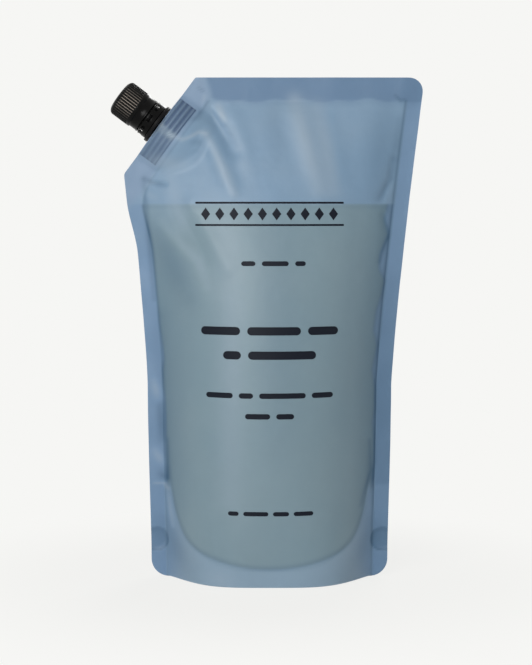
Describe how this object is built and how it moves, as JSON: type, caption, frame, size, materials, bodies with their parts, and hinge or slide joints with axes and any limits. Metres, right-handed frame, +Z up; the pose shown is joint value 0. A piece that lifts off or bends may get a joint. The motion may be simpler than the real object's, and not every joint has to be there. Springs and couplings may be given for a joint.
{
  "type": "hand soap refill pack",
  "caption": "Stand-up film pouch with a bottom gusset and a corner spout, filled with liquid soap, closed by a knurled screw cap with a tamper ring.",
  "frame": {"origin": "centre of the flat patch of the gusset that the pack stands on", "axes": "+Z up, the front face looks along -Y, the spout is on the -X side"},
  "size_m": [0.1775, 0.0724, 0.286],
  "materials": {
    "film": "satin translucent laminate",
    "soap": "clear amber liquid",
    "fitment": "moulded",
    "cap": "glossy moulded"
  },
  "bodies": {
    "pouch": {"front_panel": "film", "back_panel": "film", "bottom_gusset": "film", "soap_fill": "soap", "spout_fitment": "fitment"},
    "ring": {"tamper_ring": "cap"},
    "cap": {"screw_cap": "cap"}
  },
  "joints": [
    {"name": "cap_turn", "type": "hinge", "parent": "pouch", "child": "ring", "pos_m": [-0.06253, 0, 0.25865], "axis": [-0.8009, 0, 0.5988], "range_deg": [0, 810]},
    {"name": "cap_lift", "type": "slide", "parent": "ring", "child": "cap", "axis": [-0.8009, 0, 0.5988], "range_m": [0, 0.00721]}
  ],
  "couplings": [
    {"joint": "cap_lift", "follows": "cap_turn", "m_per_rad": 0.0005093}
  ]
}
